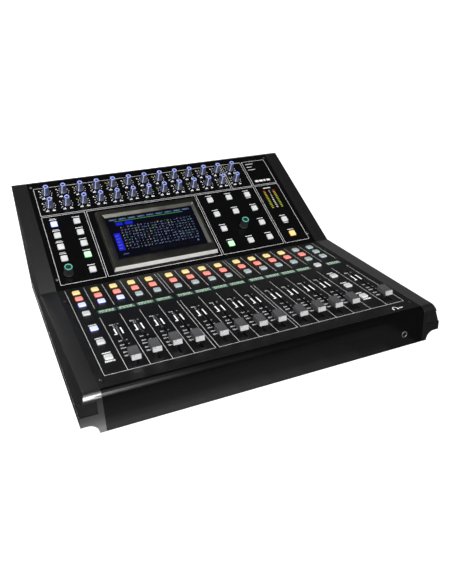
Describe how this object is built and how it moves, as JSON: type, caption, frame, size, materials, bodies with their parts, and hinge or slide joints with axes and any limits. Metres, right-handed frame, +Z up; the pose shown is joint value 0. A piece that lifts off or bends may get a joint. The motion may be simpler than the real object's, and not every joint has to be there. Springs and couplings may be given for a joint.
{
  "type": "mixing console",
  "caption": "Compact digital mixing console with motorised faders, a tilted upper panel with a touch screen, rotary knobs and lit keys, and end cheeks.",
  "frame": {"origin": "centre of the bounding box on the floor, under the rubber feet", "axes": "+X to the right of the operator, +Y from the operator towards the rear wall, +Z up"},
  "size_m": [0.5, 0.4698, 0.1963],
  "materials": {
    "tray": "fine textured black powder coat",
    "deck": "satin black",
    "upper_panel": "gloss black",
    "cheek": "satin charcoal",
    "cheek_cover": "matt dark grey",
    "bezel": "satin dark grey",
    "screen": "glossy glass over a lit display",
    "display": "clear window over a small display",
    "track": "plated steel",
    "board": "green circuit board",
    "socket": "moulded black",
    "foot": "matt rubber",
    "screw": "black plated steel",
    "mix_key": "lit translucent amber",
    "mute_key": "lit translucent coral",
    "select_key": "translucent white",
    "plain_key": "translucent white",
    "rocker": "gloss black",
    "encoder": "soft black with a teal ring",
    "knob": "soft dark grey with a blue line",
    "fader_cap": "matt dark grey with a pale front",
    "print": "white screen print",
    "accent": "blue insert",
    "led": "small lamp lens",
    "bright_metal": "nickel plated"
  },
  "bodies": {
    "console": {"chassis_tray": "tray", "deck_panel": "deck", "upper_panel": "upper_panel", "side_cheeks": "cheek", "cheek_covers": "cheek_cover", "screen_bezel": "bezel", "touch_screen": "screen", "channel_displays": "display", "fader_tracks": "track", "control_boards": "board", "sockets": "socket", "rubber_feet": "foot", "panel_screws": "screw"},
    "fader_01_slider": {"fader_01": "fader_cap"},
    "fader_02_slider": {"fader_02": "fader_cap"},
    "fader_03_slider": {"fader_03": "fader_cap"},
    "fader_04_slider": {"fader_04": "fader_cap"},
    "fader_05_slider": {"fader_05": "fader_cap"},
    "fader_06_slider": {"fader_06": "fader_cap"},
    "fader_07_slider": {"fader_07": "fader_cap"},
    "fader_08_slider": {"fader_08": "fader_cap"},
    "fader_09_slider": {"fader_09": "fader_cap"},
    "fader_10_slider": {"fader_10": "fader_cap"},
    "fader_11_slider": {"fader_11": "fader_cap"},
    "fader_12_slider": {"fader_12": "fader_cap"},
    "master_fader_slider": {"master_fader": "fader_cap"},
    "gain_knob_01_rotor": {"gain_knob_01": "knob"},
    "gain_knob_02_rotor": {"gain_knob_02": "knob"},
    "gain_knob_03_rotor": {"gain_knob_03": "knob"},
    "gain_knob_04_rotor": {"gain_knob_04": "knob"},
    "gain_knob_05_rotor": {"gain_knob_05": "knob"},
    "gain_knob_06_rotor": {"gain_knob_06": "knob"},
    "gain_knob_07_rotor": {"gain_knob_07": "knob"},
    "gain_knob_08_rotor": {"gain_knob_08": "knob"},
    "gain_knob_09_rotor": {"gain_knob_09": "knob"},
    "gain_knob_10_rotor": {"gain_knob_10": "knob"},
    "gain_knob_11_rotor": {"gain_knob_11": "knob"},
    "gain_knob_12_rotor": {"gain_knob_12": "knob"},
    "gain_knob_13_rotor": {"gain_knob_13": "knob"},
    "gain_knob_14_rotor": {"gain_knob_14": "knob"},
    "gain_knob_15_rotor": {"gain_knob_15": "knob"},
    "gain_knob_16_rotor": {"gain_knob_16": "knob"},
    "gain_knob_17_rotor": {"gain_knob_17": "knob"},
    "gain_knob_18_rotor": {"gain_knob_18": "knob"},
    "gain_knob_19_rotor": {"gain_knob_19": "knob"},
    "gain_knob_20_rotor": {"gain_knob_20": "knob"},
    "gain_knob_21_rotor": {"gain_knob_21": "knob"},
    "gain_knob_22_rotor": {"gain_knob_22": "knob"},
    "gain_knob_23_rotor": {"gain_knob_23": "knob"},
    "gain_knob_24_rotor": {"gain_knob_24": "knob"},
    "monitor_knob_rotor": {"monitor_knob": "knob"},
    "phones_knob_rotor": {"phones_knob": "knob"},
    "left_encoder_rotor": {"left_encoder": "encoder"},
    "right_encoder_rotor": {"right_encoder": "encoder"},
    "mix_keys_group": {"mix_keys": "mix_key"},
    "mute_keys_group": {"mute_keys": "mute_key"},
    "select_keys_group": {"select_keys": "select_key"},
    "layer_keys_group": {"layer_keys": "plain_key"},
    "panel_keys_group": {"panel_keys": "plain_key"},
    "power_rocker": {"power_switch": "rocker"}
  },
  "joints": [
    {"name": "fader_01_slide", "type": "slide", "parent": "console", "child": "fader_01_slider", "axis": [0, 0.9976, 0.0698], "range_m": [-0.006, 0.094]},
    {"name": "fader_02_slide", "type": "slide", "parent": "console", "child": "fader_02_slider", "axis": [0, 0.9976, 0.0698], "range_m": [-0.012, 0.088]},
    {"name": "fader_03_slide", "type": "slide", "parent": "console", "child": "fader_03_slider", "axis": [0, 0.9976, 0.0698], "range_m": [-0.0165, 0.0835]},
    {"name": "fader_04_slide", "type": "slide", "parent": "console", "child": "fader_04_slider", "axis": [0, 0.9976, 0.0698], "range_m": [-0.012, 0.088]},
    {"name": "fader_05_slide", "type": "slide", "parent": "console", "child": "fader_05_slider", "axis": [0, 0.9976, 0.0698], "range_m": [-0.012, 0.088]},
    {"name": "fader_06_slide", "type": "slide", "parent": "console", "child": "fader_06_slider", "axis": [0, 0.9976, 0.0698], "range_m": [-0.012, 0.088]},
    {"name": "fader_07_slide", "type": "slide", "parent": "console", "child": "fader_07_slider", "axis": [0, 0.9976, 0.0698], "range_m": [-0.012, 0.088]},
    {"name": "fader_08_slide", "type": "slide", "parent": "console", "child": "fader_08_slider", "axis": [0, 0.9976, 0.0698], "range_m": [-0.012, 0.088]},
    {"name": "fader_09_slide", "type": "slide", "parent": "console", "child": "fader_09_slider", "axis": [0, 0.9976, 0.0698], "range_m": [-0.012, 0.088]},
    {"name": "fader_10_slide", "type": "slide", "parent": "console", "child": "fader_10_slider", "axis": [0, 0.9976, 0.0698], "range_m": [-0.012, 0.088]},
    {"name": "fader_11_slide", "type": "slide", "parent": "console", "child": "fader_11_slider", "axis": [0, 0.9976, 0.0698], "range_m": [-0.012, 0.088]},
    {"name": "fader_12_slide", "type": "slide", "parent": "console", "child": "fader_12_slider", "axis": [0, 0.9976, 0.0698], "range_m": [-0.012, 0.088]},
    {"name": "master_fader_slide", "type": "slide", "parent": "console", "child": "master_fader_slider", "axis": [0, 0.9976, 0.0698], "range_m": [-0.012, 0.088]},
    {"name": "gain_knob_01_turn", "type": "hinge", "parent": "console", "child": "gain_knob_01_rotor", "pos_m": [-0.1958, 0.20532, 0.18045], "axis": [0, -0.5548, 0.832], "range_deg": [-300, 0]},
    {"name": "gain_knob_02_turn", "type": "hinge", "parent": "console", "child": "gain_knob_02_rotor", "pos_m": [-0.168, 0.20532, 0.18045], "axis": [0, -0.5548, 0.832], "range_deg": [-300, 0]},
    {"name": "gain_knob_03_turn", "type": "hinge", "parent": "console", "child": "gain_knob_03_rotor", "pos_m": [-0.1402, 0.20532, 0.18045], "axis": [0, -0.5548, 0.832], "range_deg": [-300, 0]},
    {"name": "gain_knob_04_turn", "type": "hinge", "parent": "console", "child": "gain_knob_04_rotor", "pos_m": [-0.1124, 0.20532, 0.18045], "axis": [0, -0.5548, 0.832], "range_deg": [-300, 0]},
    {"name": "gain_knob_05_turn", "type": "hinge", "parent": "console", "child": "gain_knob_05_rotor", "pos_m": [-0.0846, 0.20532, 0.18045], "axis": [0, -0.5548, 0.832], "range_deg": [-300, 0]},
    {"name": "gain_knob_06_turn", "type": "hinge", "parent": "console", "child": "gain_knob_06_rotor", "pos_m": [-0.0568, 0.20532, 0.18045], "axis": [0, -0.5548, 0.832], "range_deg": [-300, 0]},
    {"name": "gain_knob_07_turn", "type": "hinge", "parent": "console", "child": "gain_knob_07_rotor", "pos_m": [-0.029, 0.20532, 0.18045], "axis": [0, -0.5548, 0.832], "range_deg": [-300, 0]},
    {"name": "gain_knob_08_turn", "type": "hinge", "parent": "console", "child": "gain_knob_08_rotor", "pos_m": [-0.0012, 0.20532, 0.18045], "axis": [0, -0.5548, 0.832], "range_deg": [-300, 0]},
    {"name": "gain_knob_09_turn", "type": "hinge", "parent": "console", "child": "gain_knob_09_rotor", "pos_m": [0.0266, 0.20532, 0.18045], "axis": [0, -0.5548, 0.832], "range_deg": [-300, 0]},
    {"name": "gain_knob_10_turn", "type": "hinge", "parent": "console", "child": "gain_knob_10_rotor", "pos_m": [0.0544, 0.20532, 0.18045], "axis": [0, -0.5548, 0.832], "range_deg": [-300, 0]},
    {"name": "gain_knob_11_turn", "type": "hinge", "parent": "console", "child": "gain_knob_11_rotor", "pos_m": [0.0822, 0.20532, 0.18045], "axis": [0, -0.5548, 0.832], "range_deg": [-300, 0]},
    {"name": "gain_knob_12_turn", "type": "hinge", "parent": "console", "child": "gain_knob_12_rotor", "pos_m": [0.11, 0.20532, 0.18045], "axis": [0, -0.5548, 0.832], "range_deg": [-300, 0]},
    {"name": "gain_knob_13_turn", "type": "hinge", "parent": "console", "child": "gain_knob_13_rotor", "pos_m": [-0.1958, 0.18202, 0.16491], "axis": [0, -0.5548, 0.832], "range_deg": [-300, 0]},
    {"name": "gain_knob_14_turn", "type": "hinge", "parent": "console", "child": "gain_knob_14_rotor", "pos_m": [-0.168, 0.18202, 0.16491], "axis": [0, -0.5548, 0.832], "range_deg": [-300, 0]},
    {"name": "gain_knob_15_turn", "type": "hinge", "parent": "console", "child": "gain_knob_15_rotor", "pos_m": [-0.1402, 0.18202, 0.16491], "axis": [0, -0.5548, 0.832], "range_deg": [-300, 0]},
    {"name": "gain_knob_16_turn", "type": "hinge", "parent": "console", "child": "gain_knob_16_rotor", "pos_m": [-0.1124, 0.18202, 0.16491], "axis": [0, -0.5548, 0.832], "range_deg": [-300, 0]},
    {"name": "gain_knob_17_turn", "type": "hinge", "parent": "console", "child": "gain_knob_17_rotor", "pos_m": [-0.0846, 0.18202, 0.16491], "axis": [0, -0.5548, 0.832], "range_deg": [-300, 0]},
    {"name": "gain_knob_18_turn", "type": "hinge", "parent": "console", "child": "gain_knob_18_rotor", "pos_m": [-0.0568, 0.18202, 0.16491], "axis": [0, -0.5548, 0.832], "range_deg": [-300, 0]},
    {"name": "gain_knob_19_turn", "type": "hinge", "parent": "console", "child": "gain_knob_19_rotor", "pos_m": [-0.029, 0.18202, 0.16491], "axis": [0, -0.5548, 0.832], "range_deg": [-300, 0]},
    {"name": "gain_knob_20_turn", "type": "hinge", "parent": "console", "child": "gain_knob_20_rotor", "pos_m": [-0.0012, 0.18202, 0.16491], "axis": [0, -0.5548, 0.832], "range_deg": [-300, 0]},
    {"name": "gain_knob_21_turn", "type": "hinge", "parent": "console", "child": "gain_knob_21_rotor", "pos_m": [0.0266, 0.18202, 0.16491], "axis": [0, -0.5548, 0.832], "range_deg": [-300, 0]},
    {"name": "gain_knob_22_turn", "type": "hinge", "parent": "console", "child": "gain_knob_22_rotor", "pos_m": [0.0544, 0.18202, 0.16491], "axis": [0, -0.5548, 0.832], "range_deg": [-300, 0]},
    {"name": "gain_knob_23_turn", "type": "hinge", "parent": "console", "child": "gain_knob_23_rotor", "pos_m": [0.0822, 0.18202, 0.16491], "axis": [0, -0.5548, 0.832], "range_deg": [-300, 0]},
    {"name": "gain_knob_24_turn", "type": "hinge", "parent": "console", "child": "gain_knob_24_rotor", "pos_m": [0.11, 0.18202, 0.16491], "axis": [0, -0.5548, 0.832], "range_deg": [-300, 0]},
    {"name": "monitor_knob_turn", "type": "hinge", "parent": "console", "child": "monitor_knob_rotor", "pos_m": [0.1378, 0.20532, 0.18045], "axis": [0, -0.5548, 0.832], "range_deg": [-300, 0]},
    {"name": "phones_knob_turn", "type": "hinge", "parent": "console", "child": "phones_knob_rotor", "pos_m": [0.1378, 0.18202, 0.16491], "axis": [0, -0.5548, 0.832], "range_deg": [-300, 0]},
    {"name": "left_encoder_turn", "type": "hinge", "parent": "console", "child": "left_encoder_rotor", "pos_m": [-0.198, 0.06438, 0.08646], "axis": [0, -0.5548, 0.832], "continuous": true},
    {"name": "right_encoder_turn", "type": "hinge", "parent": "console", "child": "right_encoder_rotor", "pos_m": [0.1079, 0.09167, 0.10465], "axis": [0, -0.5548, 0.832], "continuous": true},
    {"name": "mix_keys_press", "type": "slide", "parent": "console", "child": "mix_keys_group", "axis": [0, 0.0698, -0.9976], "range_m": [0, 0.0015], "stiffness_N_per_m": 600, "springref_m": -0.0005},
    {"name": "mute_keys_press", "type": "slide", "parent": "console", "child": "mute_keys_group", "axis": [0, 0.0698, -0.9976], "range_m": [0, 0.0015], "stiffness_N_per_m": 600, "springref_m": -0.0005},
    {"name": "select_keys_press", "type": "slide", "parent": "console", "child": "select_keys_group", "axis": [0, 0.0698, -0.9976], "range_m": [0, 0.0015], "stiffness_N_per_m": 600, "springref_m": -0.0005},
    {"name": "layer_keys_press", "type": "slide", "parent": "console", "child": "layer_keys_group", "axis": [0, 0.0698, -0.9976], "range_m": [0, 0.0015], "stiffness_N_per_m": 600, "springref_m": -0.0005},
    {"name": "panel_keys_press", "type": "slide", "parent": "console", "child": "panel_keys_group", "axis": [0, 0.5548, -0.832], "range_m": [0, 0.0015], "stiffness_N_per_m": 600, "springref_m": -0.0005},
    {"name": "power_switch_rock", "type": "hinge", "parent": "console", "child": "power_rocker", "pos_m": [0.15, 0.22794, 0.042], "axis": [1, 0, 0], "range_deg": [0, 14]}
  ]
}
